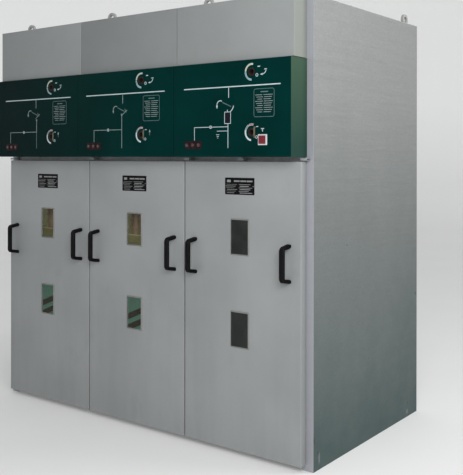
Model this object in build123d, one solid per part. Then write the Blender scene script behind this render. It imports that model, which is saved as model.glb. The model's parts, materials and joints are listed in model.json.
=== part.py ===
from build123d import *
import os

# Overall sizes in mm
bay_width = 720
bay_count = 3
unit_height = 2200
carcass_depth = 1080
end_flange = 35
sheet = 3
flange_lap = 25
bend = 3

# Front covers and boxes, measured from the carcass front plane
cover_reach = 45
cover_bottom = 28
cover_top = 1430
cover_lip = 36
panel_bottom = 1452
panel_top = 1905
panel_reach = 128
upper_reach = 104
box_gap = 3
run_gap = 5
cover_gap = 8
seat_gap = 0.3
overcut = 1

# Windows in the front covers
window_width = 104
window_height = 166
window_x = 360
window_low_z = 616
window_high_z = 1064
frame_border = 6
frame_proud = 5
frame_taper = 35
frame_corner = 5
pane_thick = 4
pane_set_in = 1.5

# Pull handles
handle_x = 72
handle_z = 957
handle_span = 182
handle_flare = 9
handle_reach = 64
handle_wide = 28
handle_thick = 18
handle_corner = 5
handle_bend = 14

# Rails
rail_depth = 30
head_rail_height = 60
middle_rail_height = 95
middle_rail_z = 1382
low_rail_height = 50
low_rail_z = 36
notch_gap = 0.5

# Base rails and floor anchors
base_height = 50
base_depth = 60
base_wall = 4
base_setback = 70
anchor_hole = 14
anchor_inset = 120

# Pegs and clips of the front covers
peg_diameter = 10
peg_length = 30
peg_gap = 0.3
peg_x = 130
peg_top_drop = 22
peg_low_rise = 22
clip_width = 36
clip_reach = 34
clip_height = 11
clip_wall = 2.5
middle_clip_x = 352

# Lever sockets
socket_x = 495
socket_high_z = 1847
socket_low_z = 1566
socket_bore = 25
socket_wall = 4
socket_length = 60
socket_rim = 3
socket_rim_reach = 2.5

# Voltage indicator lamps
lamp_x = 133
lamp_z = 1509
lamp_pitch = 38
lamp_diameter = 18
lamp_reach = 7

# Trip button of the last bay
button_x = 560
button_z = 1531
bezel_size = 50
bezel_reach = 6
bezel_edge = 1.5
button_size = 38
button_reach = 9.5
button_edge = 1.5
button_stem = 16
button_inside = 30
button_travel = 4

# Lifting eyes
eye_outer = 62
eye_hole = 34
eye_thick = 14
eye_sink = 4
eye_stem_gap = 0.5
eye_stem = 16
eye_collar = 36
eye_collar_height = 8
eye_front_x = 80
eye_front_y = 52
eye_front_turn = 90
eye_back_x = 700
eye_back_y = 1030
nut_width = 24
nut_height = 12

# Switch tanks on their brackets
tank_bottom = 1500
tank_height = 390
tank_front = 110
tank_depth = 620
tank_edge = 20
tank_side_gap = 30
bracket_leg = 45
bracket_wall = 4

# Bushings, terminal bars and post insulators
bushing_radius = 38
bushing_tip = 28
bushing_length = 170
bushing_foot = 60
resin_sides = 12
phase_pitch = 120
terminal_y = 82
terminal_width = 40
terminal_thick = 8
post_radius = 27
post_rib = 35
post_rib_thick = 9
post_rib_pitch = 46
post_ribs = 2
post_foot = 32
post_height = 130
support_z = 1022
support_leg = 40
support_wall = 4

# Cable entry in the floor plates
entry_width = 440
entry_y = 250
entry_depth = 160

# Insulating boards and diagonal braces
board_y = 160
board_thick = 4
upper_board_z = 850
upper_board_height = 440
lower_board_z = 130
lower_board_height = 690
brace_y = 112
brace_thick = 5
brace_height = 34
brace_rise = 300
brace_low_z = 470
brace_pitch = 62

# Derived places
unit_width = bay_width * bay_count + 2 * end_flange
front_reach = panel_reach + button_reach
front_y = front_reach - (carcass_depth + front_reach) / 2
back_y = front_y + carcass_depth
right_x = unit_width / 2
bays = range(bay_count)
seams = [end_flange - right_x + bay_width * i for i in range(bay_count + 1)]
roof_z = unit_height - sheet
rail_front = front_y + sheet
rail_back = rail_front + rail_depth
head_rail_z = roof_z - head_rail_height
rail_places = (
    (low_rail_z, low_rail_height),
    (middle_rail_z, middle_rail_height),
    (head_rail_z, head_rail_height),
)
panel_front = front_y - panel_reach
cover_front = front_y - cover_reach
peg_zs = (cover_bottom + peg_low_rise, cover_top - peg_top_drop)
bushing_y = front_y + tank_front + bushing_radius + run_gap
socket_zs = (socket_low_z, socket_high_z)
window_zs = (window_low_z, window_high_z)
phases = (-1, 0, 1)

os.makedirs("parts", exist_ok=True)


def save(name, *solids):
    shape = solids[0] if len(solids) == 1 else Compound(children=list(solids))
    shape.label = name
    export_step(shape, "parts/" + name + ".step")


def block(x0, x1, y0, y1, z0, z1):
    centre = ((x0 + x1) / 2, (y0 + y1) / 2, (z0 + z1) / 2)
    return Pos(*centre) * Box(x1 - x0, y1 - y0, z1 - z0)


def rod_y(x, z, y0, y1, diameter):
    bar = Rot(90, 0, 0) * Cylinder(diameter / 2, y1 - y0)
    return Pos(x, (y0 + y1) / 2, z) * bar


def rod_z(x, y, z0, z1, diameter):
    return Pos(x, y, (z0 + z1) / 2) * Cylinder(diameter / 2, z1 - z0)


def rod_x(y, z, x0, x1, diameter):
    bar = Rot(0, 90, 0) * Cylinder(diameter / 2, x1 - x0)
    return Pos((x0 + x1) / 2, y, z) * bar


def front_edges(solid):
    return solid.faces().sort_by(Axis.Y)[0].edges()


# Clear width of a bay between its walls
def bay_inner(i):
    x0 = seams[i] + sheet / 2 if i > 0 else sheet - right_x
    x1 = seams[i + 1] - sheet / 2 if i < bay_count - 1 else right_x - sheet
    return x0, x1


# Panel outline of a bay, out to the end wall at either end
def bay_panel(i, end):
    x0 = seams[i] + box_gap / 2 if i > 0 else -end
    x1 = seams[i + 1] - box_gap / 2 if i < bay_count - 1 else end
    return x0, x1


# End wall: one folded sheet with a flange at the front and the back
def end_wall(side):
    inner = right_x - sheet
    lap = right_x - end_flange - flange_lap
    y1 = back_y - sheet - seat_gap
    wall = block(inner, right_x, front_y, back_y, 0, roof_z)
    wall += block(lap, right_x, front_y, rail_front, 0, roof_z)
    wall += block(lap, right_x, y1 - sheet, y1, base_height, roof_z)
    return wall if side > 0 else wall.mirror(Plane.YZ)


# Partition wall with cover strips, notched for the cross rails
def partition_wall(x):
    y1 = back_y - sheet - seat_gap
    wall = block(x - sheet / 2, x + sheet / 2, front_y, y1, base_height, roof_z)
    for z, height in rail_places:
        z1 = z + height + notch_gap
        wall -= block(x - sheet, x + sheet, rail_front, rail_back + notch_gap, z - notch_gap, z1)
    for y in (front_y, y1 - sheet):
        wall += block(x - flange_lap, x + flange_lap, y, y + sheet, base_height, roof_z)
    return wall


# Channel rail across the whole unit, open to the back
def cross_rail(z, height):
    end = right_x - sheet
    rail = block(-end, end, rail_front, rail_back, z, z + height)
    rail -= block(-end, end, rail_front + sheet, rail_back, z + sheet, z + height - sheet)
    return rail


def peg_rail(z, height, peg_z):
    rail = cross_rail(z, height)
    for i in bays:
        for x in (seams[i] + peg_x, seams[i + 1] - peg_x):
            y0 = rail_front - peg_length
            rail += rod_y(x, peg_z, y0, rail_front + sheet, peg_diameter)
    return rail


# Clip above the front covers: a short channel with its web to the front
def cover_clip(x, y1):
    z0 = cover_top + run_gap
    y0 = rail_front - clip_reach
    clip = block(x - clip_width / 2, x + clip_width / 2, y0, y1, z0, z0 + clip_height)
    z1 = z0 + clip_height - clip_wall
    return clip - block(x - clip_width, x + clip_width, y0 + clip_wall, y1, z0 + clip_wall, z1)


# Base channel that stands on the floor, open to the back
def base_rail(y0):
    end = right_x - sheet
    y1 = y0 + base_depth
    rail = block(-end, end, y0, y1, 0, base_height)
    rail -= block(-end, end, y0 + base_wall, y1, base_wall, base_height - base_wall)
    for side in (-1, 1):
        x = side * (right_x - anchor_inset)
        rail -= rod_z(x, (y0 + y1) / 2, -overcut, base_wall + overcut, anchor_hole)
    return rail


def floor_plate(i):
    x0, x1 = bay_inner(i)
    y1 = back_y - 2 * sheet - 2 * seat_gap
    z1 = base_height + sheet
    plate = block(x0 + seat_gap, x1 - seat_gap, rail_back + run_gap, y1, base_height, z1)
    x = seams[i] + bay_width / 2
    y0 = front_y + entry_y
    half = entry_width / 2
    return plate - block(x - half, x + half, y0, y0 + entry_depth, base_height - overcut, z1 + overcut)


def back_panel(i):
    x0, x1 = bay_panel(i, right_x - sheet - seat_gap)
    return block(x0, x1, back_y - sheet, back_y, base_height, roof_z - box_gap)


def eye_places(i):
    front = (seams[i] + eye_front_x, front_y + eye_front_y)
    back = (seams[i] + eye_back_x, front_y + eye_back_y)
    return front, back


def roof_panel(i):
    x0, x1 = bay_panel(i, right_x)
    panel = block(x0, x1, front_y, back_y, roof_z, unit_height)
    for x, y in eye_places(i):
        hole = eye_stem + 2 * eye_stem_gap
        panel -= rod_z(x, y, roof_z - overcut, unit_height + overcut, hole)
    return panel


# Lifting eye with its collar, its stem and the nut under the roof
def lifting_eye(x, y, turn):
    collar_z = unit_height + eye_collar_height
    ring_z = collar_z + eye_outer / 2 - eye_sink
    eye = rod_x(0, ring_z, -eye_thick / 2, eye_thick / 2, eye_outer)
    eye += rod_z(0, 0, roof_z - nut_height, collar_z, eye_stem)
    eye += rod_z(0, 0, unit_height, collar_z, eye_collar)
    eye -= rod_x(0, ring_z, -eye_thick, eye_thick, eye_hole)
    nut = extrude(RegularPolygon(nut_width / 2, 6, major_radius=False), nut_height)
    eye += Pos(0, 0, roof_z - nut_height) * nut
    return Pos(x, y, 0) * Rot(0, 0, turn) * eye


# Folded sheet pan: bent front edges, open back with a returned lip
def pan(x0, x1, reach, z0, z1, back_gap, lip):
    y0 = front_y - reach
    y1 = front_y - back_gap
    shell = block(x0, x1, y0, y1, z0, z1)
    shell = fillet(front_edges(shell), bend)
    shell -= block(x0 + sheet, x1 - sheet, y0 + sheet, y1 - sheet, z0 + sheet, z1 - sheet)
    return shell - block(x0 + lip, x1 - lip, y1 - sheet - overcut, y1 + overcut, z0 + lip, z1 - lip)


def upper_cover(i):
    x0 = seams[i] + box_gap / 2
    x1 = seams[i + 1] - box_gap / 2
    return pan(x0, x1, upper_reach, panel_top + box_gap, unit_height, 0, flange_lap)


def control_panel(i):
    x0 = seams[i] + box_gap / 2
    x1 = seams[i + 1] - box_gap / 2
    box = pan(x0, x1, panel_reach, panel_bottom, panel_top, 0, flange_lap)
    y0 = panel_front - overcut
    y1 = panel_front + sheet + overcut
    hole = socket_bore + 2 * socket_wall + 2 * seat_gap
    for z in socket_zs:
        box -= rod_y(seams[i] + socket_x, z, y0, y1, hole)
    if i == bay_count - 1:
        hole = button_stem + 2 * seat_gap
        box -= rod_y(seams[i] + button_x, button_z, y0, y1, hole)
    return box


# Lever socket: a blind sleeve with a rim on the panel
def lever_socket(x, z):
    outer = socket_bore + 2 * socket_wall
    y0 = panel_front - socket_rim_reach
    y1 = panel_front + socket_length
    sleeve = rod_y(x, z, panel_front, y1, outer)
    sleeve += rod_y(x, z, y0, panel_front, outer + 2 * socket_rim)
    return sleeve - rod_y(x, z, y0 - overcut, y1 - socket_wall, socket_bore)


def indicator_lamp(x):
    return rod_y(x, lamp_z, panel_front - lamp_reach, panel_front, lamp_diameter)


def button_frame(x):
    half = bezel_size / 2
    hole = button_size / 2 + seat_gap
    y0 = panel_front - bezel_reach
    frame = block(x - half, x + half, y0, panel_front, button_z - half, button_z + half)
    frame = chamfer(front_edges(frame), bezel_edge)
    y0 -= overcut
    y1 = panel_front + overcut
    return frame - block(x - hole, x + hole, y0, y1, button_z - hole, button_z + hole)


def trip_button(x):
    half = button_size / 2
    y0 = panel_front - button_reach
    y1 = panel_front - button_travel - seat_gap
    button = block(x - half, x + half, y0, y1, button_z - half, button_z + half)
    button = fillet(front_edges(button), button_edge)
    return button + rod_y(x, button_z, y1, panel_front + button_inside, button_stem)


# Front cover: a pan with two windows cut through and four peg holes
def front_cover(i):
    x0 = seams[i] + cover_gap / 2
    x1 = seams[i + 1] - cover_gap / 2
    cover = pan(x0, x1, cover_reach, cover_bottom, cover_top, run_gap, cover_lip)
    x = seams[i] + window_x
    a = window_width / 2
    b = window_height / 2
    y0 = cover_front - overcut
    y1 = cover_front + sheet + overcut
    for z in window_zs:
        cover -= block(x - a, x + a, y0, y1, z - b, z + b)
    y0 = front_y - run_gap - sheet - overcut
    y1 = front_y - run_gap + overcut
    for x in (seams[i] + peg_x, seams[i + 1] - peg_x):
        for z in peg_zs:
            cover -= rod_y(x, z, y0, y1, peg_diameter + 2 * peg_gap)
    return cover


# Window frame with sloped sides, standing on the face of the cover
def window_frame(x, z):
    face = Plane(origin=(x, cover_front, z), x_dir=(1, 0, 0), z_dir=(0, -1, 0))
    width = window_width + 2 * frame_border
    height = window_height + 2 * frame_border
    outline = RectangleRounded(width, height, frame_corner)
    frame = extrude(face * outline, frame_proud, taper=frame_taper)
    a = window_width / 2
    b = window_height / 2
    y0 = cover_front - frame_proud - overcut
    return frame - block(x - a, x + a, y0, cover_front + overcut, z - b, z + b)


def window_pane(x, z):
    a = window_width / 2 - seat_gap
    b = window_height / 2 - seat_gap
    y0 = cover_front - frame_proud + pane_set_in
    return block(x - a, x + a, y0, y0 + pane_thick, z - b, z + b)


# Bow handle: a bar with bevelled edges swept along two flared legs
def pull_handle(x):
    foot = handle_span / 2 - handle_thick / 2
    grip = foot - handle_flare
    out = handle_thick / 2 - handle_reach
    slope = handle_flare / (handle_reach - handle_thick / 2)
    root = foot + handle_thick * slope
    points = ((handle_thick, root), (out, grip), (out, -grip), (handle_thick, -root))
    route = FilletPolyline(*[(0, y, z) for y, z in points], radius=handle_bend)
    section = Rectangle(handle_wide, handle_thick)
    section = chamfer(section.vertices(), handle_corner)
    start = Plane(origin=route @ 0, x_dir=(1, 0, 0), z_dir=route % 0)
    bar = sweep(start * section, path=route)
    bar -= block(-handle_wide, handle_wide, 0, 3 * handle_thick, -handle_span, handle_span)
    return Pos(x, cover_front, handle_z) * bar


# Switch tank with bevelled edges, on two angle brackets
def switch_tank(i):
    x0, x1 = bay_inner(i)
    y0 = front_y + tank_front
    z1 = tank_bottom + tank_height
    tank = block(x0 + tank_side_gap, x1 - tank_side_gap, y0, y0 + tank_depth, tank_bottom, z1)
    return chamfer(tank.edges().filter_by(Axis.X), tank_edge)


def tank_bracket(x, side):
    y0 = front_y + tank_front
    x1 = x + side * bracket_leg
    x2 = x + side * bracket_wall
    z0 = tank_bottom - bracket_wall
    leg = block(min(x, x1), max(x, x1), y0, y0 + tank_depth, z0, tank_bottom)
    return leg + block(min(x, x2), max(x, x2), y0, y0 + tank_depth, tank_bottom - bracket_leg, tank_bottom)


# Bushing under a tank: a cast foot and a narrower neck
def bushing(x):
    foot = extrude(RegularPolygon(bushing_radius, resin_sides), -bushing_foot)
    neck = extrude(RegularPolygon(bushing_tip, resin_sides), -bushing_length)
    return Pos(x, bushing_y, tank_bottom) * (foot + neck)


# Terminal bar: from the bushing forward and down to its post insulator
def terminal_bar(x):
    y0 = front_y + terminal_y - terminal_thick / 2
    top = tank_bottom - bushing_length
    low = support_z + post_height
    half = terminal_width / 2
    bar = block(x - half, x + half, y0, bushing_y + half, top - terminal_thick, top)
    bar += block(x - half, x + half, y0, y0 + terminal_thick, low, top)
    y1 = y0 + terminal_thick / 2 + half
    return bar + block(x - half, x + half, y0, y1, low, low + terminal_thick)


# Post insulator with ribs, standing on the support angle
def post_insulator(x):
    post = extrude(RegularPolygon(post_radius, resin_sides), post_height)
    for k in range(post_ribs):
        rib = extrude(RegularPolygon(post_rib, resin_sides), post_rib_thick)
        post += Pos(0, 0, post_foot + post_rib_pitch * k) * rib
    return Pos(x, front_y + terminal_y, support_z) * post


def support_angle(i):
    x0, x1 = bay_inner(i)
    y0 = front_y + terminal_y - support_leg
    y1 = front_y + board_y
    angle = block(x0, x1, y0, y1, support_z - support_wall, support_z)
    return angle + block(x0, x1, y0, y0 + support_wall, support_z - support_leg, support_z)


def insulating_board(i, z, height):
    x0, x1 = bay_inner(i)
    y0 = front_y + board_y
    return block(x0, x1, y0, y0 + board_thick, z, z + height)


# Flat bar that climbs from the left wall to the right wall of a bay
def diagonal_brace(i, z):
    x0, x1 = bay_inner(i)
    y0 = front_y + brace_y
    z1 = z + brace_rise
    corners = ((x0, z), (x1, z1), (x1, z1 + brace_height), (x0, z + brace_height))
    outline = make_face(Polyline(*corners, close=True))
    face = Plane(origin=(0, y0 + brace_thick, 0), x_dir=(1, 0, 0), z_dir=(0, -1, 0))
    return extrude(face * outline, brace_thick)


save("left_end_wall", end_wall(-1))
save("right_end_wall", end_wall(1))
for i in range(1, bay_count):
    save("partition_wall_" + str(i), partition_wall(seams[i]))
save("low_cross_rail", peg_rail(low_rail_z, low_rail_height, peg_zs[0]))
save("middle_cross_rail", peg_rail(middle_rail_z, middle_rail_height, peg_zs[1]))
save("head_cross_rail", cross_rail(head_rail_z, head_rail_height))
clip_spots = [(x, front_y) for x in seams]
clip_spots.append((seams[-2] + middle_clip_x, rail_front))
save("cover_clips", *[cover_clip(x, y) for x, y in clip_spots])
save("front_base_rail", base_rail(front_y + base_setback))
save("back_base_rail", base_rail(back_y - 3 * sheet - base_depth))
eyes = []
for i in bays:
    front, back = eye_places(i)
    eyes += [lifting_eye(*front, eye_front_turn), lifting_eye(*back, 0)]
save("lifting_eyes", *eyes)
save("floor_plates", *[floor_plate(i) for i in bays])

for i in bays:
    name = "_" + str(i + 1)
    save("back_panel" + name, back_panel(i))
    save("roof_panel" + name, roof_panel(i))
    save("upper_cover" + name, upper_cover(i))
    save("control_panel" + name, control_panel(i))
    save("front_cover" + name, front_cover(i))
    x = seams[i] + window_x
    save("window_frames" + name, *[window_frame(x, z) for z in window_zs])
    save("window_panes" + name, *[window_pane(x, z) for z in window_zs])
    grips = [pull_handle(seams[i] + handle_x), pull_handle(seams[i + 1] - handle_x)]
    save("pull_handles" + name, *grips)

sockets = [(seams[i] + socket_x, z) for i in bays for z in socket_zs]
lamp_xs = [seams[i] + lamp_x + k * lamp_pitch for i in bays for k in phases]
save("lever_sockets", *[lever_socket(x, z) for x, z in sockets])
save("indicator_lamps", *[indicator_lamp(x) for x in lamp_xs])
save("button_frame", button_frame(seams[-2] + button_x))
save("trip_button", trip_button(seams[-2] + button_x))

phase_xs = [seams[i] + bay_width / 2 + k * phase_pitch for i in bays for k in phases]
brackets = []
for i in bays:
    x0, x1 = bay_inner(i)
    brackets += [tank_bracket(x0, 1), tank_bracket(x1, -1)]
save("switch_tanks", *[switch_tank(i) for i in bays])
save("tank_brackets", *brackets)
save("tank_bushings", *[bushing(x) for x in phase_xs])
save("terminal_bars", *[terminal_bar(x) for x in phase_xs])
save("post_insulators", *[post_insulator(x) for x in phase_xs])
save("support_angles", *[support_angle(i) for i in bays])
save("upper_boards", *[insulating_board(i, upper_board_z, upper_board_height) for i in bays])
save("lower_boards", *[insulating_board(i, lower_board_z, lower_board_height) for i in bays])
brace_zs = (brace_low_z, brace_low_z - brace_pitch)
save("diagonal_braces", *[diagonal_brace(i, z) for i in bays for z in brace_zs])
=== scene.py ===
import json
import math
import bmesh
import bpy
from mathutils import Matrix, Vector


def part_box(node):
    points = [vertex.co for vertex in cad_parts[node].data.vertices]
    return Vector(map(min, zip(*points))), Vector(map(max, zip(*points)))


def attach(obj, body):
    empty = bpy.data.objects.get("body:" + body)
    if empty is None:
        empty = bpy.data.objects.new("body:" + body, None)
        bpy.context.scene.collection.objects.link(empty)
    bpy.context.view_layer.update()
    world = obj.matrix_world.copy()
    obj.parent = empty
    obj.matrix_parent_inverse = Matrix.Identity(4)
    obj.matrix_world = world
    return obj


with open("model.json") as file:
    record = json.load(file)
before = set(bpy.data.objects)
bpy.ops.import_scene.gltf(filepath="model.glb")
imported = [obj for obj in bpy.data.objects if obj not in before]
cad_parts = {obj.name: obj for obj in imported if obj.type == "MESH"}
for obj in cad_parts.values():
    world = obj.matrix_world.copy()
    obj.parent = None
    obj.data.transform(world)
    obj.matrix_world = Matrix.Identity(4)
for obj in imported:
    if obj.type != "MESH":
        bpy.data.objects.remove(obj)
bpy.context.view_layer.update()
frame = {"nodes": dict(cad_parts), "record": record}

nodes = frame["nodes"]
print("frame loaded:", len(nodes), "nodes")

bayCount = 3
bayWidth = 0.72
boxLow = [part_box("control_panel_%d" % (i + 1))[0] for i in range(bayCount)]
seams = [low.x - 0.0015 for low in boxLow]  # the gap between two boxes is 3 mm
panelFront = boxLow[0].y
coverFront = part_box("front_cover_1")[0].y
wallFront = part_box("right_end_wall")[0].y


# finishes: every pattern is laid out in metres on the object's own coordinates

def newFinish(name):
    material = bpy.data.materials.new(name)
    material.use_nodes = True
    tree = material.node_tree
    place = tree.nodes.new("ShaderNodeTexCoord").outputs["Object"]
    return material, tree, tree.nodes["Principled BSDF"], place


def stretch(tree, place, scale):
    mapping = tree.nodes.new("ShaderNodeMapping")
    mapping.inputs["Scale"].default_value = scale
    tree.links.new(place, mapping.inputs["Vector"])
    return mapping.outputs["Vector"]


def cloud(tree, place, scale, detail=3, rough=0.5):
    noise = tree.nodes.new("ShaderNodeTexNoise")
    noise.inputs["Scale"].default_value = scale
    noise.inputs["Detail"].default_value = detail
    noise.inputs["Roughness"].default_value = rough
    tree.links.new(place, noise.inputs["Vector"])
    return noise.outputs["Fac"]


def crystals(tree, place, scale):
    cells = tree.nodes.new("ShaderNodeTexVoronoi")
    cells.inputs["Scale"].default_value = scale
    tree.links.new(place, cells.inputs["Vector"])
    shade = tree.nodes.new("ShaderNodeSeparateColor")
    tree.links.new(cells.outputs["Color"], shade.inputs["Color"])
    return shade.outputs["Red"]


def ramp(tree, factor, low, high, first, second):
    node = tree.nodes.new("ShaderNodeMapRange")
    node.inputs["From Min"].default_value = low
    node.inputs["From Max"].default_value = high
    node.inputs["To Min"].default_value = first
    node.inputs["To Max"].default_value = second
    tree.links.new(factor, node.inputs["Value"])
    return node.outputs["Result"]


def mixColour(tree, factor, first, second, kind="MIX"):
    node = tree.nodes.new("ShaderNodeMix")
    node.data_type = "RGBA"
    node.blend_type = kind
    tree.links.new(factor, node.inputs["Factor"])
    for letter, value in (("A", first), ("B", second)):
        socket = [s for s in node.inputs if s.name == letter and s.type == "RGBA"][0]
        if isinstance(value, tuple):
            socket.default_value = (*value, 1)
        else:
            tree.links.new(value, socket)
    return [s for s in node.outputs if s.type == "RGBA"][0]


def calc(tree, kind, first, second=0.0):
    node = tree.nodes.new("ShaderNodeMath")
    node.operation = kind
    for socket, value in zip(node.inputs, (first, second)):
        if isinstance(value, (int, float)):
            socket.default_value = value
        else:
            tree.links.new(value, socket)
    return node.outputs["Value"]


def split(tree, place):
    node = tree.nodes.new("ShaderNodeSeparateXYZ")
    tree.links.new(place, node.inputs["Vector"])
    return node.outputs["X"], node.outputs["Y"], node.outputs["Z"]


def relief(tree, shader, height, distance, strength=1.0, under=None):
    bump = tree.nodes.new("ShaderNodeBump")
    bump.inputs["Strength"].default_value = strength
    bump.inputs["Distance"].default_value = distance
    tree.links.new(height, bump.inputs["Height"])
    if under is not None:
        tree.links.new(under, bump.inputs["Normal"])
    tree.links.new(bump.outputs["Normal"], shader.inputs["Normal"])
    return bump.outputs["Normal"]


def wear(tree, place, shader, low, high, scale=9):
    wearAndSheen = ramp(tree, cloud(tree, place, scale, 4), 0.3, 0.7, low, high)
    tree.links.new(wearAndSheen, shader.inputs["Roughness"])


# how far a face looks to the left or the right, from 0 to 1
def sideways(tree):
    facing = tree.nodes.new("ShaderNodeTexCoord").outputs["Normal"]
    return ramp(tree, calc(tree, "ABSOLUTE", split(tree, facing)[0]), 0.3, 0.9, 0, 1)


# small marks on the right wall: each has its place on the wall (y, z) and its half sizes
def marks(tree, place, spots):
    x, y, z = split(tree, place)
    warp = calc(tree, "MULTIPLY", calc(tree, "SUBTRACT", cloud(tree, place, 160, 3), 0.5), 1.6)
    total = 0.0
    for spotY, spotZ, halfY, halfZ in spots:
        across = calc(tree, "DIVIDE", calc(tree, "SUBTRACT", y, spotY), halfY)
        along = calc(tree, "DIVIDE", calc(tree, "SUBTRACT", z, spotZ), halfZ)
        squares = calc(tree, "ADD", calc(tree, "MULTIPLY", across, across),
                       calc(tree, "MULTIPLY", along, along))
        reach = calc(tree, "ADD", calc(tree, "SQRT", squares), warp)
        total = calc(tree, "MAXIMUM", ramp(tree, reach, 0.8, 1.3, 1, 0), total)
    onRight = calc(tree, "GREATER_THAN", x, 0.0)
    return calc(tree, "MULTIPLY", total, onRight)


# crowned sheet: each front panel bulges a little between its bay's seams
def crown(tree, place, rise):
    x = split(tree, place)[0]
    across = calc(tree, "FRACT", calc(tree, "DIVIDE", calc(tree, "SUBTRACT", x, seams[0]), bayWidth))
    middle = calc(tree, "SUBTRACT", across, 0.5)
    return calc(tree, "MULTIPLY", calc(tree, "MULTIPLY", middle, middle), -4 * rise)


# sprayed sheet, with dust low down, painted shade towards the left end and painted sheen on the end faces
# where the look has them
def paint(name, look):
    material, tree, shader, place = newFinish(name)
    patch = ramp(tree, cloud(tree, place, look["patch"], 3), 0.35, 0.65, 0, 1)
    base = mixColour(tree, patch, look["deep"], look["pale"])
    specks = ramp(tree, cloud(tree, place, look["speck"], 2, 0.7), 0.62, 0.74, 0, look["speckShare"])
    base = mixColour(tree, specks, base, look["speckColour"])
    if look.get("smudge"):
        rubbed = cloud(tree, stretch(tree, place, (1, 1, 0.7)), 6.5, 6, 0.62)
        base = mixColour(tree, ramp(tree, rubbed, 0.60, 0.74, 0, look["smudge"]), base, look["dustColour"])
    if look.get("dustTo"):
        height = split(tree, place)[2]
        streak = cloud(tree, stretch(tree, place, (9, 9, 0.8)), 2, 5)
        fade = ramp(tree, height, 0.0, look["dustTo"], 1, 0)
        streak = ramp(tree, streak, 0.4, 0.75, look["dust"] * 0.5, look["dust"])
        base = mixColour(tree, calc(tree, "MULTIPLY", fade, streak), base, look["dustColour"])
    # painted shade: the colour turns darker towards the left end, away from the light
    if look.get("leftShade"):
        across = ramp(tree, split(tree, place)[0], *look["leftShadeFrom"], 0, 1)
        base = mixColour(tree, across, look["leftShade"], base)
    # painted sheen: the unit's end faces made lighter, more so towards the top
    if look.get("side"):
        height = split(tree, place)[2]
        wearAndSheen = mixColour(tree, ramp(tree, height, *look["sideFrom"], 0, 1), look["side"], look["sideTop"])
        outer = calc(tree, "GREATER_THAN", calc(tree, "ABSOLUTE", split(tree, place)[0]), look["sideAt"])
        base = mixColour(tree, calc(tree, "MULTIPLY", sideways(tree), outer), base, wearAndSheen)
    tree.links.new(base, shader.inputs["Base Color"])
    wear(tree, place, shader, *look["rough"])
    shader.inputs["Specular IOR Level"].default_value = look.get("gloss", 0.5)
    under = None
    if look.get("crown"):
        under = relief(tree, shader, crown(tree, place, look["crown"]), 1.0)
    relief(tree, shader, cloud(tree, place, look["peel"], 2), look["peelDepth"], 0.5, under)
    return material


# bare or coated zinc sheet; a look with painted shade, darker and greener towards the bottom, also has the
# marks and the flange of the right wall
def sheetMetal(name, look):
    material, tree, shader, place = newFinish(name)
    spangle = crystals(tree, place, look["spangle"])
    shade = ramp(tree, spangle, 0, 1, 0.5 - look["spangleShare"], 0.5 + look["spangleShare"])
    base = mixColour(tree, shade, look["deep"], look["pale"])
    grain = cloud(tree, stretch(tree, place, look["grainStretch"]), look["grain"], 5, 0.6)
    base = mixColour(tree, ramp(tree, grain, 0.3, 0.75, 0, look["grainShare"]), base, look["stain"])
    if look.get("lip"):
        edge = ramp(tree, split(tree, place)[2], look["lipAt"], look["lipAt"] + 0.001, 0, 1)
        base = mixColour(tree, edge, base, look["lip"])
    if look.get("paintedShade"):
        y, z = split(tree, place)[1:]
        # painted shade: the sheet darker and greener towards the bottom, along a wavy line
        wave = cloud(tree, stretch(tree, place, (2, 2, 0.7)), 1.4, 3)
        sway = calc(tree, "MULTIPLY", calc(tree, "SUBTRACT", wave, 0.5), 0.5)
        paintedShade = ramp(tree, calc(tree, "ADD", z, sway), *look["paintedShadeFrom"], 1, 0)
        base = mixColour(tree, paintedShade, base, look["paintedShade"], "MULTIPLY")
        brushed = cloud(tree, stretch(tree, place, (7, 7, 60)), 6, 3, 0.6)
        base = mixColour(tree, ramp(tree, brushed, 0.35, 0.65, 0, 0.10), base, look["stain"], "MULTIPLY")
        base = mixColour(tree, marks(tree, place, look["chips"]), base, look["chipColour"])
        base = mixColour(tree, marks(tree, place, look["rubs"]), base, look["rubColour"])
        flange = ramp(tree, y, look["flangeAt"] + 0.0005, look["flangeAt"] + 0.003, 1, 0)
        base = mixColour(tree, flange, base, look["flange"])
    tree.links.new(base, shader.inputs["Base Color"])
    shader.inputs["Metallic"].default_value = look["metal"]
    wear(tree, place, shader, *look["rough"])
    ripple = cloud(tree, stretch(tree, place, (1.5, 1.5, 14)), 1.6, 2)
    under = relief(tree, shader, ripple, look["ripple"])
    relief(tree, shader, spangle, look["relief"], 0.4, under)
    return material


# plastic, resin, board and print
def moulded(name, look):
    material, tree, shader, place = newFinish(name)
    patch = ramp(tree, cloud(tree, place, look["patch"], 4), 0.3, 0.7, 0, 1)
    base = mixColour(tree, patch, look["deep"], look["pale"])
    tree.links.new(base, shader.inputs["Base Color"])
    wear(tree, place, shader, *look["rough"], 60)
    shader.inputs["Specular IOR Level"].default_value = look.get("gloss", 0.5)
    shader.inputs["Metallic"].default_value = look.get("metal", 0)
    if look.get("glow"):  # stands for the light that reaches the cable room from behind
        shader.inputs["Emission Color"].default_value = (*look["pale"], 1)
        shader.inputs["Emission Strength"].default_value = look["glow"]
    relief(tree, shader, cloud(tree, place, look["peel"], 3), look["peelDepth"], 0.6)
    return material


greyPaint = paint("greyPaint", {
    "deep": (0.231, 0.243, 0.246), "pale": (0.268, 0.279, 0.283), "patch": 2.2,
    "speck": 240, "speckShare": 0.12, "speckColour": (0.16, 0.17, 0.175),
    "rough": (0.48, 0.58), "gloss": 0.25, "peel": 420, "peelDepth": 0.00012, "crown": 0.008,
    "smudge": 0.24, "dustTo": 1.25, "dust": 0.42, "dustColour": (0.170, 0.173, 0.167)})

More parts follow.
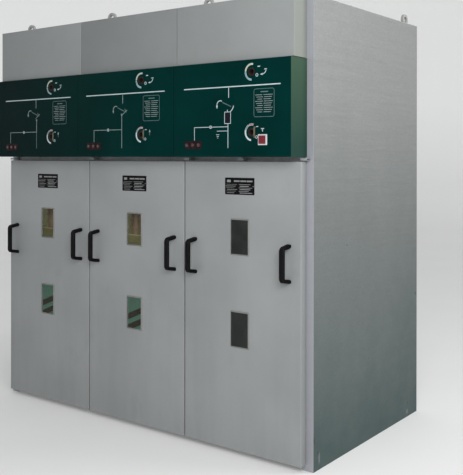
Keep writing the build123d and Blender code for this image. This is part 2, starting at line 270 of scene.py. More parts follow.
upperLook = {
    "deep": (0.158, 0.168, 0.167), "pale": (0.178, 0.188, 0.187), "patch": 2.2,
    "speck": 240, "speckShare": 0.12, "speckColour": (0.13, 0.14, 0.14),
    "rough": (0.50, 0.60), "gloss": 0.22, "peel": 420, "peelDepth": 0.00012, "crown": 0.020,
    "smudge": 0.15, "dustColour": (0.125, 0.128, 0.12),
    # painted sheen on the end faces, lighter towards the top
    "side": (0.200, 0.213, 0.197), "sideTop": (0.205, 0.219, 0.203),
    "sideFrom": (1.9, 2.2), "sideAt": 1.07,
    # painted light and shade: a brightness factor for each upper cover
    "paintedLightFactors": (1.36, 1.09, 1.29)}


# each upper cover is a lighter or darker copy of the same paint: painted light and shade
def upperFinish(i):
    look = dict(upperLook)
    for key in ("deep", "pale"):
        look[key] = tuple(channel * look["paintedLightFactors"][i] for channel in look[key])
    return paint("upperPaint%d" % (i + 1), look)


greenPaint = paint("greenPaint", {
    "deep": (0.0001, 0.0165, 0.0148), "pale": (0.0002, 0.0215, 0.0192), "patch": 3.0,
    "speck": 220, "speckShare": 0.1, "speckColour": (0.001, 0.026, 0.022),
    "rough": (0.36, 0.46), "gloss": 0.02, "peel": 420, "peelDepth": 0.00012, "crown": 0.002,
    # painted shade towards the left end; painted sheen on the end faces, lighter towards the top
    "leftShade": (0.0045, 0.0105, 0.0100), "leftShadeFrom": (-1.3, 0.1),
    "side": (0.018, 0.046, 0.036), "sideTop": (0.042, 0.078, 0.052),
    "sideFrom": (1.50, 1.88), "sideAt": 1.07})

sideSheet = sheetMetal("sideSheet", {
    "deep": (0.205, 0.211, 0.209), "pale": (0.236, 0.241, 0.238), "spangle": 150, "spangleShare": 0.5,
    "grain": 5, "grainStretch": (3, 3, 11), "grainShare": 0.3, "stain": (0.198, 0.204, 0.201),
    "metal": 0.2, "rough": (0.45, 0.58), "ripple": 0.0035, "relief": 0.00006,
    # painted shade, darker and greener towards the bottom
    "paintedShade": (0.185, 0.315, 0.305), "paintedShadeFrom": (0.06, 1.74),
    "chips": ((wallFront + 0.006, 0.146, 0.004, 0.016), (wallFront + 0.040, 0.080, 0.006, 0.008),
              (wallFront + 0.965, 0.076, 0.007, 0.006), (wallFront + 1.060, 0.676, 0.006, 0.007),
              (wallFront + 0.30, 1.02, 0.004, 0.004), (wallFront + 0.52, 0.42, 0.004, 0.003)),
    "chipColour": (0.02, 0.022, 0.022),
    "rubs": ((wallFront + 0.050, 0.052, 0.006, 0.026), (wallFront + 0.958, 0.028, 0.010, 0.012)),
    "rubColour": (0.135, 0.145, 0.14),
    "flangeAt": wallFront, "flange": (0.290, 0.298, 0.322)})

zincSheet = sheetMetal("zincSheet", {
    "deep": (0.29, 0.305, 0.31), "pale": (0.37, 0.385, 0.39), "spangle": 75, "spangleShare": 0.5,
    "grain": 4, "grainStretch": (4, 4, 4), "grainShare": 0.3, "stain": (0.29, 0.30, 0.295),
    "metal": 0.45, "rough": (0.38, 0.55), "ripple": 0.003, "relief": 0.00012})

tankSteel = sheetMetal("tankSteel", {
    "deep": (0.42, 0.42, 0.41), "pale": (0.50, 0.50, 0.49), "spangle": 400, "spangleShare": 0.2,
    "grain": 3, "grainStretch": (1, 1, 40), "grainShare": 0.3, "stain": (0.38, 0.38, 0.37),
    "metal": 0.8, "rough": (0.32, 0.42), "ripple": 0.001, "relief": 0.00004})

yellowZinc = sheetMetal("yellowZinc", {
    "deep": (0.36, 0.34, 0.12), "pale": (0.48, 0.45, 0.18), "spangle": 300, "spangleShare": 0.4,
    "grain": 12, "grainStretch": (3, 3, 3), "grainShare": 0.4, "stain": (0.45, 0.40, 0.14),
    "metal": 0.2, "rough": (0.35, 0.5), "ripple": 0.0004, "relief": 0.00005,
    "lip": (0.95, 0.92, 0.50), "lipAt": 1.0185})

eyeSteel = sheetMetal("eyeSteel", {
    "deep": (0.30, 0.30, 0.29), "pale": (0.42, 0.42, 0.41), "spangle": 500, "spangleShare": 0.3,
    "grain": 40, "grainStretch": (1, 1, 1), "grainShare": 0.4, "stain": (0.22, 0.22, 0.20),
    "metal": 0.3, "rough": (0.4, 0.55), "ripple": 0.0003, "relief": 0.0001})

barBrass = sheetMetal("barBrass", {
    "deep": (0.30, 0.20, 0.09), "pale": (0.40, 0.28, 0.13), "spangle": 500, "spangleShare": 0.2,
    "grain": 20, "grainStretch": (1, 1, 12), "grainShare": 0.4, "stain": (0.38, 0.22, 0.10),
    "metal": 0.5, "rough": (0.35, 0.5), "ripple": 0.0002, "relief": 0.00003})

frameRubber = moulded("frameRubber", {
    "deep": (0.165, 0.168, 0.158), "pale": (0.205, 0.208, 0.196), "patch": 30, "rough": (0.6, 0.75),
    "peel": 700, "peelDepth": 0.00008, "gloss": 0.15})

handlePlastic = moulded("handlePlastic", {
    "deep": (0.0040, 0.0040, 0.0045), "pale": (0.007, 0.007, 0.008), "patch": 25, "rough": (0.45, 0.6),
    "peel": 900, "peelDepth": 0.0001, "gloss": 0.045})

socketSteel = moulded("socketSteel", {
    "deep": (0.012, 0.0075, 0.007), "pale": (0.026, 0.015, 0.013), "patch": 60, "rough": (0.5, 0.65),
    "peel": 700, "peelDepth": 0.00008, "gloss": 0.12})

lampLens = moulded("lampLens", {
    "deep": (0.034, 0.017, 0.018), "pale": (0.074, 0.042, 0.044), "patch": 90, "rough": (0.12, 0.2),
    "peel": 300, "peelDepth": 0.0002, "gloss": 0.5})

whitePlastic = moulded("whitePlastic", {
    "deep": (0.44, 0.45, 0.46), "pale": (0.53, 0.54, 0.55), "patch": 40, "rough": (0.3, 0.42),
    "peel": 900, "peelDepth": 0.00005})

redPlastic = moulded("redPlastic", {
    "deep": (0.105, 0.0075, 0.013), "pale": (0.155, 0.013, 0.021), "patch": 50, "rough": (0.3, 0.42),
    "peel": 900, "peelDepth": 0.00006, "gloss": 0.3})

castResin = moulded("castResin", {
    "deep": (0.30, 0.27, 0.22), "pale": (0.38, 0.35, 0.29), "patch": 20, "rough": (0.4, 0.55),
    "peel": 500, "peelDepth": 0.0002})

postResin = moulded("postResin", {
    "deep": (0.190, 0.118, 0.058), "pale": (0.260, 0.168, 0.088), "patch": 18, "rough": (0.3, 0.45),
    "peel": 500, "peelDepth": 0.0001, "glow": 0.10})

oliveBoard = moulded("oliveBoard", {
    "deep": (0.180, 0.175, 0.085), "pale": (0.250, 0.240, 0.120), "patch": 9, "rough": (0.5, 0.65),
    "peel": 600, "peelDepth": 0.0001, "glow": 0.27})

tealBoard = moulded("tealBoard", {
    "deep": (0.105, 0.255, 0.190), "pale": (0.150, 0.322, 0.245), "patch": 8, "rough": (0.5, 0.65),
    "peel": 600, "peelDepth": 0.0001, "glow": 0.28})

brownPaint = moulded("brownPaint", {
    "deep": (0.030, 0.022, 0.017), "pale": (0.055, 0.040, 0.031), "patch": 14, "rough": (0.4, 0.55),
    "peel": 500, "peelDepth": 0.0001, "glow": 0.20})

plateBlack = moulded("plateBlack", {
    "deep": (0.003, 0.003, 0.0035), "pale": (0.006, 0.006, 0.007), "patch": 50, "rough": (0.4, 0.55),
    "peel": 800, "peelDepth": 0.00004, "gloss": 0.05})

linePrint = moulded("linePrint", {
    "deep": (0.36, 0.43, 0.45), "pale": (0.46, 0.53, 0.55), "patch": 35, "rough": (0.45, 0.6),
    "peel": 900, "peelDepth": 0.00003})

dimPrint = moulded("dimPrint", {
    "deep": (0.15, 0.20, 0.20), "pale": (0.24, 0.29, 0.29), "patch": 60, "rough": (0.45, 0.6),
    "peel": 900, "peelDepth": 0.00003})

faintPrint = moulded("faintPrint", {
    "deep": (0.055, 0.105, 0.10), "pale": (0.10, 0.16, 0.155), "patch": 60, "rough": (0.45, 0.6),
    "peel": 900, "peelDepth": 0.00003})

fusePrint = moulded("fusePrint", {
    "deep": (0.006, 0.006, 0.011), "pale": (0.010, 0.010, 0.017), "patch": 60, "rough": (0.45, 0.6),
    "peel": 900, "peelDepth": 0.00003, "gloss": 0.05})

creamPrint = moulded("creamPrint", {
    "deep": (0.30, 0.32, 0.20), "pale": (0.40, 0.42, 0.28), "patch": 45, "rough": (0.45, 0.6),
    "peel": 900, "peelDepth": 0.00003})

bluePrint = moulded("bluePrint", {
    "deep": (0.08, 0.19, 0.24), "pale": (0.14, 0.27, 0.32), "patch": 45, "rough": (0.45, 0.6),
    "peel": 900, "peelDepth": 0.00003})

redPrint = moulded("redPrint", {
    "deep": (0.24, 0.05, 0.06), "pale": (0.34, 0.09, 0.10), "patch": 45, "rough": (0.45, 0.6),
    "peel": 900, "peelDepth": 0.00003})

lampPrint = moulded("lampPrint", {
    "deep": (0.012, 0.0060, 0.0070), "pale": (0.022, 0.0090, 0.0105), "patch": 45, "rough": (0.4, 0.5),
    "peel": 900, "peelDepth": 0.00003, "gloss": 0.06})

plateWhite = moulded("plateWhite", {
    "deep": (0.27, 0.28, 0.285), "pale": (0.35, 0.36, 0.365), "patch": 120, "rough": (0.4, 0.55),
    "peel": 900, "peelDepth": 0.00003})

plateGrey = moulded("plateGrey", {
    "deep": (0.15, 0.155, 0.155), "pale": (0.22, 0.225, 0.225), "patch": 150, "rough": (0.4, 0.55),
    "peel": 900, "peelDepth": 0.00003})

plateFaint = moulded("plateFaint", {
    "deep": (0.075, 0.078, 0.078), "pale": (0.12, 0.124, 0.124), "patch": 150, "rough": (0.4, 0.55),
    "peel": 900, "peelDepth": 0.00003})

khakiPlate = moulded("khakiPlate", {
    "deep": (0.085, 0.082, 0.055), "pale": (0.135, 0.128, 0.085), "patch": 80, "rough": (0.4, 0.55),
    "peel": 700, "peelDepth": 0.00005, "metal": 0.3})


def windowPane(name, look):
    material, tree, shader, place = newFinish(name)
    haze = cloud(tree, place, look["haze"], 4)
    tree.links.new(mixColour(tree, haze, look["deep"], look["pale"]), shader.inputs["Base Color"])
    wear(tree, place, shader, *look["rough"], 30)
    tree.links.new(ramp(tree, haze, 0.3, 0.7, *look["cover"]), shader.inputs["Alpha"])
    shader.inputs["Specular IOR Level"].default_value = look["gloss"]
    relief(tree, shader, cloud(tree, place, 6, 2), 0.001, 0.4)
    return material


clearPane = windowPane("clearPane", {
    "deep": (0.06, 0.07, 0.055), "pale": (0.10, 0.11, 0.09), "haze": 14,
    "rough": (0.08, 0.16), "cover": (0.08, 0.16), "gloss": 0.2})

darkPane = windowPane("darkPane", {
    "deep": (0.008, 0.0095, 0.0095), "pale": (0.032, 0.034, 0.033), "haze": 14,
    "rough": (0.15, 0.25), "cover": (0.82, 0.93), "gloss": 0.12})

finishes = {
    "coated_sheet": sideSheet, "zinc_sheet": zincSheet, "grey_paint": greyPaint, "green_paint": greenPaint,
    "clear_pane": clearPane, "gasket_rubber": frameRubber, "black_plastic": handlePlastic,
    "socket_steel": socketSteel, "lamp_lens": lampLens, "white_plastic": whitePlastic,
    "red_plastic": redPlastic, "zinc_forging": eyeSteel, "tank_steel": tankSteel,
    "cast_resin": castResin, "bar_brass": barBrass, "post_resin": postResin, "yellow_zinc": yellowZinc,
    "olive_board": oliveBoard, "teal_board": tealBoard, "brown_paint": brownPaint}

for part in frame["record"]["subparts"]:
    node = nodes[part["node"]]
    node.data.materials.clear()
    node.data.materials.append(finishes[part["material_slot"]])
nodes["window_panes_3"].data.materials[0] = darkPane
for i in range(bayCount):
    nodes["upper_cover_%d" % (i + 1)].data.materials[0] = upperFinish(i)
print("finishes laid on the CAD nodes")


# new pieces

def addPiece(name, mesh, body, slotName, *materials):
    edges = [e for e in mesh.edges if e.is_boundary]
    if edges:
        bmesh.ops.holes_fill(mesh, edges=edges)
    bmesh.ops.recalc_face_normals(mesh, faces=mesh.faces)
    data = bpy.data.meshes.new(name)
    mesh.to_mesh(data)
    mesh.free()
    for material in materials:
        data.materials.append(material)
    piece = bpy.data.objects.new(name, data)
    bpy.context.scene.collection.objects.link(piece)
    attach(piece, body)
    return piece


def tint(faces, index):
    for face in faces:
        face.material_index = index


def newFaces(mesh, before):
    return [f for f in mesh.faces if f not in before]


# flat stroke of print between two points of a panel's face
def stroke(mesh, start, end, width, face, look, index=0):
    before = set(mesh.faces)
    length = math.dist(start, end)
    angle = math.atan2(end[1] - start[1], end[0] - start[0])
    made = bmesh.ops.create_cube(mesh, size=1)["verts"]
    middle = ((start[0] + end[0]) / 2, face, (start[1] + end[1]) / 2)
    matrix = Matrix.Translation(middle) @ Matrix.Rotation(-angle, 4, "Y")
    matrix = matrix @ Matrix.Diagonal((length, look["thick"], width, 1))
    bmesh.ops.transform(mesh, matrix=matrix, verts=made)
    tint(newFaces(mesh, before), index)


arc = {"step": 8, "fewest": 4}  # degrees to a step, and the fewest steps


# flat band of print along an arc, angles in degrees, 0 to the right and 90 up
def band(mesh, centre, radius, width, start, end, face, look, index=0):
    before = set(mesh.faces)
    made = bmesh.ops.create_grid(mesh, x_segments=1, y_segments=1, size=0.5)["verts"]
    turn = Matrix.Rotation(-math.radians(start), 4, "Y")
    matrix = Matrix.Translation((centre[0], face, centre[1])) @ turn
    matrix = matrix @ Matrix.Translation((radius, 0, 0)) @ Matrix.Diagonal((width, look["thick"], 1, 1))
    bmesh.ops.transform(mesh, matrix=matrix, verts=made)
    faces = newFaces(mesh, before)
    edges = list(dict.fromkeys(e for f in faces for e in f.edges))  # in a fixed order
    steps = max(arc["fewest"], int(abs(end - start) / arc["step"]))
    bmesh.ops.spin(mesh, geom=made + edges + faces, cent=(centre[0], face, centre[1]), axis=(0, -1, 0),
                   dvec=(0, 0, 0), angle=math.radians(end - start), steps=steps, use_duplicate=False)
    tint(newFaces(mesh, before), index)


# flat triangle of print, a little longer than it is wide
def arrowHead(mesh, tip, angle, size, face, look, index=0):
    before = set(mesh.faces)
    made = bmesh.ops.create_cone(mesh, cap_ends=True, segments=3, radius1=size, radius2=size,
                                 depth=look["thick"])["verts"]
    matrix = Matrix.Translation((tip[0], face, tip[1])) @ Matrix.Rotation(-math.radians(angle), 4, "Y")
    matrix = matrix @ Matrix.Rotation(math.radians(90), 4, "X") @ Matrix.Rotation(math.radians(-90), 4, "Z")
    matrix = matrix @ Matrix.Diagonal((0.7, 1.2, 1, 1))
    bmesh.ops.transform(mesh, matrix=matrix, verts=made)
    tint(newFaces(mesh, before), index)


def ring(mesh, centre, radius, width, face, look, index=0):
    band(mesh, centre, radius, width, 0, 180, face, look, index)
    band(mesh, centre, radius, width, 180, 360, face, look, index)


# places are in metres, across from the bay's left seam and up from the floor
mimic = {
    "thick": 0.0006, "bus": 0.0050, "line": 0.0036, "branch": 0.00288, "thin": 0.0024,
    "busZ": 1.784, "busFrom": 0.072, "busTo": 0.660, "dropX": 0.357, "dropTo": 1.732,
    "feederX": (0.362, 0.350, 0.353), "feederTop": (1.664, 1.674, 1.610),
    "feederTo": (1.592, 1.497, 1.494), "faintTo": 1.500,
    "branchZ": 1.595, "branchFrom": (0.118, 0.134, 0.141), "branchTo": 1.532, "branchJoin": 0.0017,
    "node": (0.245, 0.0062, 0.003),
    "hook": ((0.305, 1.700), 0.020, 0.004, 60, 190), "hookHead": ((0.285, 1.692), 270, 0.009),
    "contact": ((0.345, 1.703), 0.043, 0.004, -58, -12),
    "fuse": (0.332, 0.369, 1.610, 1.665), "fuseProud": 0.0001, "fuseTop": (0.3495, 1.665, 1.676),
    "earthArm": (0.285, 0.352, 1.575), "earthBars": (0.290, 1.558, 0.008, (0.020, 0.013, 0.006)),
    "fork": (((0.352, 1.672), (0.392, 1.698)), ((0.384, 1.686), (0.372, 1.704))), "pivot": (0.0045, 0.0025),
    "blade": ((0.318, 1.712), (0.372, 1.690))}


def buildMimic(i):
    look = mimic
    x0 = seams[i]
    face = panelFront
    dim = 2 if i < bayCount - 1 else 0  # the last bay's print is the freshest
    faint = 1
    filled = 3
    mesh = bmesh.new()

    def at(x, z):
        return (x0 + x, z)

    def line(start, end, width, index=0, proud=0.0):
        stroke(mesh, at(*start), at(*end), width, face + proud, look, index)

    line((look["busFrom"], look["busZ"]), (look["busTo"], look["busZ"]), look["bus"])
    line((look["dropX"], look["busZ"]), (look["dropX"], look["dropTo"]), look["line"], dim)
    x = look["feederX"][i]
    top = look["feederTop"][i]
    line((x, top), (x, look["feederTo"][i]), look["line"], dim)
    if i == 0:
        line((x, look["feederTo"][i]), (x, look["faintTo"]), look["line"], faint)
    left = look["branchFrom"][i]
    line((left, look["branchZ"]), (x, look["branchZ"]), look["branch"], dim)
    line((left, look["branchZ"] + look["branchJoin"]), (left, look["branchTo"]), look["branch"], dim)
    nodeX, radius, width = look["node"]
    ring(mesh, at(nodeX, look["branchZ"]), radius, width, face, look)
    # curved arrow and the open blade of the switch
    centre, radius, width, start, end = look["hook"]
    band(mesh, at(*centre), radius, width, start, end, face, look, dim)
    tip, angle, size = look["hookHead"]
    arrowHead(mesh, at(*tip), angle, size, face, look, dim)
    if i == bayCount - 1:
        centre, radius, width, start, end = look["contact"]
        band(mesh, at(*centre), radius, width, start, end, face, look)
        a, b, c, d = look["fuse"]
        line(((a + b) / 2, c), ((a + b) / 2, d), b - a, filled, look["fuseProud"])
        for start, end in (((a, c), (b, c)), ((a, d), (b, d)), ((a, c), (a, d)), ((b, c), (b, d))):
            line(start, end, look["branch"])
        topX, low, high = look["fuseTop"]
        line((topX, low), (topX, high), look["line"])
        start, end, z = look["earthArm"]
        line((start, z), (end, z), look["thin"])
        middle, z, pitch, widths = look["earthBars"]
        for k, w in enumerate(widths):
            line((middle - w / 2, z - k * pitch), (middle + w / 2, z - k * pitch), look["thin"])
    else:
        for start, end in look["fork"]:
            line(start, end, look["thin"], dim)
        ring(mesh, at(x, top), *look["pivot"], face, look, dim)
    line(*look["blade"], look["line"], faint)
    return addPiece("mimic_lines_%d" % (i + 1), mesh, "unit", "white_plastic",
                    linePrint, faintPrint, dimPrint, fusePrint)


for i in range(bayCount):
    buildMimic(i)
print("mimic diagrams drawn")

# the scales and signs of the two sockets, places are in metres from the socket's middle
dial = {
    "thick": 0.0006, "x": 0.495, "highZ": 1.847, "lowZ": 1.566, "radius": 0.0365, "width": 0.0085,
    "edge": 0.0017, "edgeTurn": 2, "inlay": 0.0003,
    "high": ((78, 176, 1), (180, 268, 2)), "low": ((74, 116, 3), (120, 158, 4), (160, 264, 0)),
    "highBar": ((0.034, 0.023), (0.049, 0.023), 0.0042), "highRing": ((0.030, -0.016), 0.0062, 0.0028),
    "turnArc": ((0.060, 0.010), 0.024, 0.0032, -88, -14), "turnHead": ((0.058, -0.014), 184, 0.008),
    "turnBar": ((0.072, 0.008), (0.088, 0.009), 0.0034),
    "lowBar": ((0.026, 0.026), (0.038, 0.026), 0.0036), "lowRing": ((0.028, -0.022), 0.0058, 0.0026),
    "tripBar": ((0.054, 0.016), (0.072, 0.016), 0.0042), "tripStem": ((0.063, 0.002), (0.063, 0.016), 0.0036),
    "liftStem": ((0.060, -0.004), (0.060, 0.018), 0.0036), "liftHead": ((0.060, 0.017), 90, 0.008)}


def buildDials(i):
    look = dial
    mesh = bmesh.new()
    x = seams[i] + look["x"]
    face = panelFront
    faint = 4

    def bar(key, z, index=0):
        start, end, width = look[key]
        stroke(mesh, (x + start[0], z + start[1]), (x + end[0], z + end[1]), width, face, look, index)

    def loop(key, z):
        centre, radius, width = look[key]
        ring(mesh, (x + centre[0], z + centre[1]), radius, width, face, look)

    def point(key, z):
        tip, angle, size = look[key]
        arrowHead(mesh, (x + tip[0], z + tip[1]), angle, size, face, look)

    inlay = look["width"] - 2 * look["edge"]
    turn = look["edgeTurn"]
    for z, parts in ((look["highZ"], look["high"]), (look["lowZ"], look["low"])):
        for start, end, index in parts:
            band(mesh, (x, z), look["radius"], look["width"], start, end, face, look)
            band(mesh, (x, z), look["radius"], inlay, start + turn, end - turn,
                 face - look["inlay"], look, index)
    z = look["highZ"]
    bar("highBar", z)
    loop("highRing", z)
    centre, radius, width, start, end = look["turnArc"]
    band(mesh, (x + centre[0], z + centre[1]), radius, width, start, end, face, look)
    point("turnHead", z)
    bar("turnBar", z)
    z = look["lowZ"]
    bar("lowBar", z)
    loop("lowRing", z)
    if i == bayCount - 1:
        bar("tripBar", z)
        bar("tripStem", z)
    else:
        bar("liftStem", z, faint)
        point("liftHead", z)
    return addPiece("dial_scales_%d" % (i + 1), mesh, "unit", "white_plastic",
                    linePrint, creamPrint, bluePrint, redPrint, faintPrint)


for i in range(bayCount):
    buildDials(i)

# guard strap beside each lower socket: a flat bar with two joggled feet
strap = {"x": 0.0176, "width": 0.0095, "half": 0.0205, "foot": 0.006, "joggle": 0.001,
         "proud": 0.0028, "thick": 0.0012}


def buildStrap(i):
    look = strap
    mesh = bmesh.new()
    z = dial["lowZ"]
    x0 = seams[i] + dial["x"] + look["x"] - look["width"] / 2
    top, bottom = z + look["half"] + look["foot"], z - look["half"] - look["foot"]
    near, far = panelFront - look["proud"], panelFront
    bends = ((far, bottom), (far, bottom + look["foot"]), (near, z - look["half"] + look["joggle"]),
             (near, z + look["half"] - look["joggle"]), (far, top - look["foot"]), (far, top))
    line = [mesh.verts.new((x0, y, h)) for y, h in bends]
    edges = [mesh.edges.new(pair) for pair in zip(line, line[1:])]
    made = bmesh.ops.extrude_edge_only(mesh, edges=edges)["geom"]
    moved = [v for v in made if isinstance(v, bmesh.types.BMVert)]
    bmesh.ops.translate(mesh, vec=(look["width"], 0, 0), verts=moved)
    bmesh.ops.recalc_face_normals(mesh, faces=mesh.faces)
    if sum(f.normal.y for f in mesh.faces) > 0:
        bmesh.ops.reverse_faces(mesh, faces=mesh.faces)
    bmesh.ops.solidify(mesh, geom=mesh.faces[:], thickness=-look["thick"])
    return addPiece("socket_strap_%d" % (i + 1), mesh, "unit", "yellow_zinc", khakiPlate)


for i in range(bayCount):
    buildStrap(i)

# a column has its inset from the frame and its inner end, each with the step by which its rows differ
legend = {
    "thick": 0.0005, "x0": 0.508, "x1": 0.624, "z0": 1.637, "z1": 1.766, "corner": 0.010, "line": 0.0022,
    "title": (0.038, 0.034, 0.014, 0.0045), "rows": 9, "row": 0.0024, "firstRow": 0.028, "margins": 0.040,
    "leftColumn": (0.008, 0.006, 0.048, 0.004), "rightColumn": (0.008, 0.005, 0.056, 0.003)}


def buildLegend(i):
    look = legend
    mesh = bmesh.new()
    x0, x1, z0, z1 = seams[i] + look["x0"], seams[i] + look["x1"], look["z0"], look["z1"]
    r, w, y = look["corner"], look["line"], panelFront
    for start, end in (((x0 + r, z0), (x1 - r, z0)), ((x0 + r, z1), (x1 - r, z1)),
                       ((x0, z0 + r), (x0, z1 - r)), ((x1, z0 + r), (x1, z1 - r))):
        stroke(mesh, start, end, w, y, look)
    corners = ((x1 - r, z1 - r, 0), (x0 + r, z1 - r, 90), (x0 + r, z0 + r, 180), (x1 - r, z0 + r, 270))
    for cx, cz, turn in corners:
        band(mesh, (cx, cz), r, w, turn, turn + 90, y, look)
    left, right, drop, width = look["title"]
    stroke(mesh, (x0 + left, z1 - drop), (x1 - right, z1 - drop), width, y, look)
    pitch = (z1 - z0 - look["margins"]) / look["rows"]
    for k in range(look["rows"]):
        z = z1 - look["firstRow"] - k * pitch
        inset, step, end, endStep = look["leftColumn"]
        stroke(mesh, (x0 + inset + step * (k % 3), z), (x0 + end + endStep * (k % 2), z),
               look["row"], y, look, 1)
        inset, step, start, startStep = look["rightColumn"]
        stroke(mesh, (x0 + start + startStep * (k % 2), z), (x1 - inset - step * (k % 3), z),
               look["row"], y, look, 1)
    return addPiece("legend_table_%d" % (i + 1), mesh, "unit", "white_plastic", faintPrint, dimPrint)


for i in range(bayCount):
    buildLegend(i)

lampField = {"thick": 0.0006, "x0": 0.078, "x1": 0.188, "z0": 1.489, "z1": 1.529, "corner": 0.004}


# the four short edges of a flat piece, which run front to back
def sideEdges(mesh, thick):
    return [e for e in mesh.edges if abs(e.verts[0].co.y - e.verts[1].co.y) > thick / 2]


def buildLampField(i):
    look = lampField
    mesh = bmesh.new()
    z = (look["z0"] + look["z1"]) / 2
    height = look["z1"] - look["z0"]
    stroke(mesh, (seams[i] + look["x0"], z), (seams[i] + look["x1"], z), height, panelFront, look)
    bmesh.ops.bevel(mesh, geom=sideEdges(mesh, look["thick"]), offset=look["corner"], segments=4, profile=0.5,
                    affect="EDGES", material=-1)
    return addPiece("lamp_field_%d" % (i + 1), mesh, "unit", "lamp_lens", lampPrint)


for i in range(bayCount):
    buildLampField(i)

# rules are laid out in shares of the plate's width and height
plate = {
    "thick": 0.0014, "x": 0.358, "z": 1.310, "width": 0.180, "height": 0.082, "corner": 0.003,
    "ink": {"thick": 0.0003}, "title": (0.31, 0.94, 0.80, 0.0072), "titleParts": 3, "titleGap": 0.02,
    "tab": (0.07, 0.20, 0.80, 0.01224), "rows": 6, "rowTop": 0.60, "rowPitch": 0.099, "rowHeight": 0.0023,
    "leftColumn": (0.05, 0.02, 0.42, 0.05), "rightColumn": (0.48, 0.03, 0.93, 0.06),
    "rivet": 0.0022, "rivetFlat": 0.5, "rivetInset": 0.007}


def buildPlate(i):
    look = plate
    white, faint, grey, steel = 1, 2, 3, 4
    mesh = bmesh.new()
    left = seams[i] + look["x"] - look["width"] / 2
    low = look["z"] - look["height"] / 2
    middle = coverFront - look["thick"] / 2
    face = coverFront - look["thick"]
    stroke(mesh, (left, look["z"]), (left + look["width"], look["z"]), look["height"], middle, look)
    bmesh.ops.bevel(mesh, geom=sideEdges(mesh, look["thick"]), offset=look["corner"], segments=4, profile=0.5,
                    affect="EDGES", material=-1)

    def rule(start, end, rise, height, index):
        z = low + rise * look["height"]
        ends = (left + start * look["width"], z), (left + end * look["width"], z)
        stroke(mesh, *ends, height, face, look["ink"], index)

    # a broken title bar, a plain tab at its left and two columns of blank rules
    start, end, rise, height = look["title"]
    pitch = (end - start + look["titleGap"]) / look["titleParts"]
    for k in range(look["titleParts"]):
        rule(start + k * pitch, start + (k + 1) * pitch - look["titleGap"], rise, height, grey)
    rule(*look["tab"], grey)
    for k in range(look["rows"]):
        rise = look["rowTop"] - k * look["rowPitch"]
        start, step, end, endStep = look["leftColumn"]
        rule(start + step * (k % 2), end - endStep * (k % 3), rise, look["rowHeight"],
             grey if k % 2 else faint)
        start, step, end, endStep = look["rightColumn"]
        rule(start + step * (k % 2), end - endStep * ((k + 1) % 3), rise, look["rowHeight"],
             white if k % 2 else grey)
    for dx in (look["rivetInset"], look["width"] - look["rivetInset"]):
        before = set(mesh.faces)
        made = bmesh.ops.create_uvsphere(mesh, u_segments=12, v_segments=6, radius=look["rivet"])["verts"]
        spot = (left + dx, face, look["z"])
        matrix = Matrix.Translation(spot) @ Matrix.Diagonal((1, look["rivetFlat"], 1, 1))
        bmesh.ops.transform(mesh, matrix=matrix, verts=made)
        tint(newFaces(mesh, before), steel)
    return addPiece("name_plate_%d" % (i + 1), mesh, "cover_%d" % (i + 1), "black_plastic",
                    plateBlack, plateWhite, plateFaint, plateGrey, eyeSteel)


for i in range(bayCount):
    buildPlate(i)
print("dials, tables and plates made")

screw = {"radius": 0.0065, "head": 0.0035, "headSides": 6, "headTaper": 0.92,
         "washer": 0.0095, "washerThick": 0.0012, "washerSides": 20, "washerTaper": 0.95}


# hexagon head screw with a washer, its axis pointing out of the sheet
def addScrew(mesh, spot, turn):
    look = screw
    matrix = Matrix.Translation(spot) @ turn
    disc = bmesh.ops.create_cone(mesh, cap_ends=True, segments=look["washerSides"],
                                 radius1=look["washer"], radius2=look["washer"] * look["washerTaper"],
                                 depth=look["washerThick"])["verts"]
    bmesh.ops.translate(mesh, vec=(0, 0, look["washerThick"] / 2), verts=disc)
    head = bmesh.ops.create_cone(mesh, cap_ends=True, segments=look["headSides"], radius1=look["radius"],
                                 radius2=look["radius"] * look["headTaper"], depth=look["head"])["verts"]
    bmesh.ops.translate(mesh, vec=(0, 0, look["washerThick"] + look["head"] / 2), verts=head)
    bmesh.ops.transform(mesh, matrix=matrix, verts=disc + head)


rearScrews = {"rows": (0.09, 0.60, 1.12, 1.64, 2.14), "edge": 0.013}
outward = Matrix.Rotation(math.radians(-90), 4, "X")
for i in range(bayCount):
    mesh = bmesh.new()
    low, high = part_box("back_panel_%d" % (i + 1))
    for z in rearScrews["rows"]:
        for x in (low.x + rearScrews["edge"], high.x - rearScrews["edge"]):
            addScrew(mesh, (x, high.y, z), outward)
    addPiece("rear_screws_%d" % (i + 1), mesh, "unit", "zinc_forging", eyeSteel)

roofScrews = {"rows": (0.030, 0.36, 0.72, 1.05), "edge": 0.014}
for i in range(bayCount):
    mesh = bmesh.new()
    low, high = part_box("roof_panel_%d" % (i + 1))
    for y in roofScrews["rows"]:
        for x in (low.x + roofScrews["edge"], high.x - roofScrews["edge"]):
            addScrew(mesh, (x, low.y + y, high.z), Matrix.Identity(4))
    addPiece("roof_screws_%d" % (i + 1), mesh, "unit", "zinc_forging", eyeSteel)
print("screws set")


# floor, light and camera

studio = {
    "profile": ((0, 0), (7.5, 0), (8.6, 0.25), (9.25, 1.0), (9.5, 2.2), (9.5, 6.0)), "steps": 72,
    "sky": 0.62, "skyColour": (0.97, 0.985, 1.0), "glow": 0.14,
    "floorDeep": (0.60, 0.60, 0.595), "floorPale": (0.64, 0.64, 0.635), "floorRough": 0.8,
    "wallColour": (0.84, 0.84, 0.835), "wallFrom": (0.1, 2.4),
    "lights": (("keyLight", (3.2, -3.1, 2.5), (0.6, -0.4, 1.3), 1.8, 130),
               ("sideLight", (3.8, 1.4, 3.2), (1.1, 0.1, 1.7), 1.8, 60))}

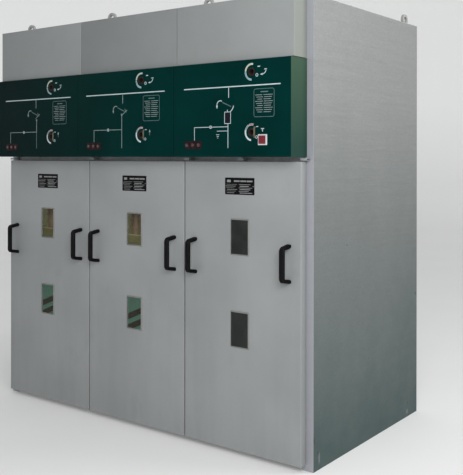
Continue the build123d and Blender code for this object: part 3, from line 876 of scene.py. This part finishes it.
floorMaterial, tree, shader, where = newFinish("paleFloor")
ground = mixColour(tree, cloud(tree, where, 1.2, 3), studio["floorDeep"], studio["floorPale"])
rise = ramp(tree, split(tree, where)[2], *studio["wallFrom"], 0, 1)
tree.links.new(mixColour(tree, rise, ground, studio["wallColour"]), shader.inputs["Base Color"])
shader.inputs["Roughness"].default_value = studio["floorRough"]
shader.inputs["Emission Color"].default_value = (1, 1, 1, 1)
shader.inputs["Emission Strength"].default_value = studio["glow"]
mesh = bmesh.new()
points = [mesh.verts.new((r, 0, z)) for r, z in studio["profile"]]
edges = [mesh.edges.new(pair) for pair in zip(points, points[1:])]
bmesh.ops.spin(mesh, geom=points + edges, cent=(0, 0, 0), axis=(0, 0, 1), dvec=(0, 0, 0), angle=math.tau,
               steps=studio["steps"], use_merge=True)
bmesh.ops.remove_doubles(mesh, verts=mesh.verts, dist=0.0001)
bmesh.ops.recalc_face_normals(mesh, faces=mesh.faces)
bmesh.ops.reverse_faces(mesh, faces=mesh.faces)
for face in mesh.faces:
    face.smooth = True
data = bpy.data.meshes.new("studio_floor")
mesh.to_mesh(data)
mesh.free()
data.materials.append(floorMaterial)
floor = bpy.data.objects.new("studio_floor", data)
bpy.context.scene.collection.objects.link(floor)


def addLight(name, spot, aim, size, power):
    lamp = bpy.data.lights.new(name, "AREA")
    lamp.size = size
    lamp.energy = power
    holder = bpy.data.objects.new(name, lamp)
    holder.location = spot
    holder.rotation_euler = (Vector(aim) - Vector(spot)).to_track_quat("-Z", "Y").to_euler()
    bpy.context.scene.collection.objects.link(holder)


for light in studio["lights"]:
    addLight(*light)
world = bpy.data.worlds.new("studioSky")
world.use_nodes = True
sky = world.node_tree.nodes["Background"]
sky.inputs["Color"].default_value = (*studio["skyColour"], 1)
sky.inputs["Strength"].default_value = studio["sky"]
bpy.context.scene.world = world
bpy.context.scene.view_settings.view_transform = "Standard"

shot = {"yaw": -0.6088, "pitch": -0.0014, "roll": 0.0011, "spot": (3.0741, -3.4725, 1.4484),
        "focal": 780.88, "centre": (289.80, 158.75), "width": 463, "height": 475, "sensor": 36}
level = math.cos(shot["pitch"])
sight = Vector((math.sin(shot["yaw"]) * level, math.cos(shot["yaw"]) * level, math.sin(shot["pitch"])))
right = Vector((math.cos(shot["yaw"]), -math.sin(shot["yaw"]), 0))
up = right.cross(sight)
side = math.cos(shot["roll"]) * right + math.sin(shot["roll"]) * up
head = side.cross(sight)
camera = bpy.data.objects.new("photoCamera", bpy.data.cameras.new("photoCamera"))
camera.matrix_world = Matrix.Translation(shot["spot"]) @ Matrix((side, head, -sight)).transposed().to_4x4()
camera.data.sensor_width = shot["sensor"]
camera.data.lens = shot["focal"] / shot["height"] * shot["sensor"]
camera.data.shift_x = (shot["width"] / 2 - shot["centre"][0]) / shot["height"]
camera.data.shift_y = (shot["centre"][1] - shot["height"] / 2) / shot["height"]
bpy.context.scene.collection.objects.link(camera)
bpy.context.scene.camera = camera
print("studio set")
